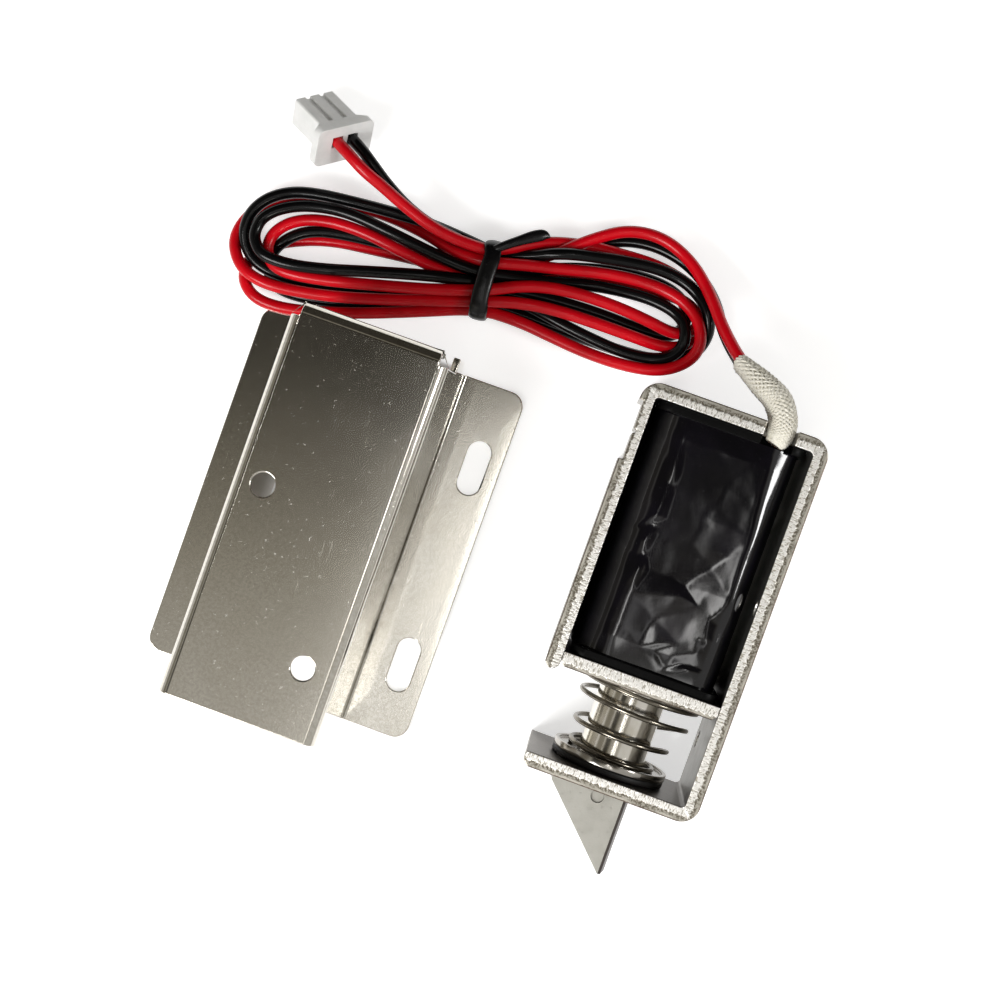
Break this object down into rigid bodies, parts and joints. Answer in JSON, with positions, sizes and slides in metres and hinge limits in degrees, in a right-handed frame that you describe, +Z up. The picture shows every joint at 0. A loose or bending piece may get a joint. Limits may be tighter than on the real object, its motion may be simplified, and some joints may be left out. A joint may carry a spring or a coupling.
{
  "type": "solenoid lock",
  "caption": "Small solenoid cabinet lock: wedge bolt on a sprung plunger in an open bent frame, with coil, tied leads and plug, beside its folded cover, taken off.",
  "frame": {"origin": "on the floor, in the middle of the box round the solenoid and the cover, without the lead", "axes": "+X from the cover to the solenoid, +Y from the bolt to the lead's end, +Z up"},
  "size_m": [0.0876, 0.0895, 0.028],
  "materials": {
    "nickel_strip": "nickel plated strip, satin faces and rough sheared edges",
    "nickel_sheet": "nickel plated sheet, satin with fine speckle",
    "nickel_washer": "bright plated washer",
    "black_nylon": "black moulded spool",
    "copper_wire": "enamelled copper turns",
    "black_tape": "glossy creased black tape",
    "brass_tube": "thin drawn tube",
    "turned_steel": "polished plated turned steel",
    "cast_zinc": "matte warm light grey casting",
    "spring_wire": "dark drawn spring wire",
    "black_rubber": "black rubber",
    "cream_braid": "cream braided sleeve",
    "red_lead": "glossy red insulation",
    "black_lead": "glossy black insulation",
    "tie_plastic": "black tie",
    "white_nylon": "white slightly translucent plug",
    "tinned_contact": "tinned crimp contact"
  },
  "bodies": {
    "case": {"frame": "nickel_strip", "inner_plate": "nickel_strip", "bobbin": "black_nylon", "winding": "copper_wire", "tape_wrap": "black_tape", "guide_tube": "brass_tube", "fixed_core": "turned_steel", "return_spring": "spring_wire", "cover": "nickel_sheet", "lead_sleeve": "cream_braid", "lead_red": "red_lead", "lead_black": "black_lead", "lead_hank": "red_lead", "end_red": "red_lead", "end_black": "black_lead", "cable_tie": "tie_plastic", "plug_housing": "white_nylon", "plug_contacts": "tinned_contact"},
    "bolt": {"plunger": "turned_steel", "latch_tongue": "cast_zinc", "cross_pin": "turned_steel", "spring_washer": "nickel_washer", "damping_washer": "black_rubber"}
  },
  "joints": [
    {"name": "bolt_slide", "type": "slide", "parent": "case", "child": "bolt", "axis": [0, 1, 0], "range_m": [0, 0.007], "stiffness_N_per_m": 150, "springref_m": -0.004, "deforming": ["return_spring"]}
  ]
}
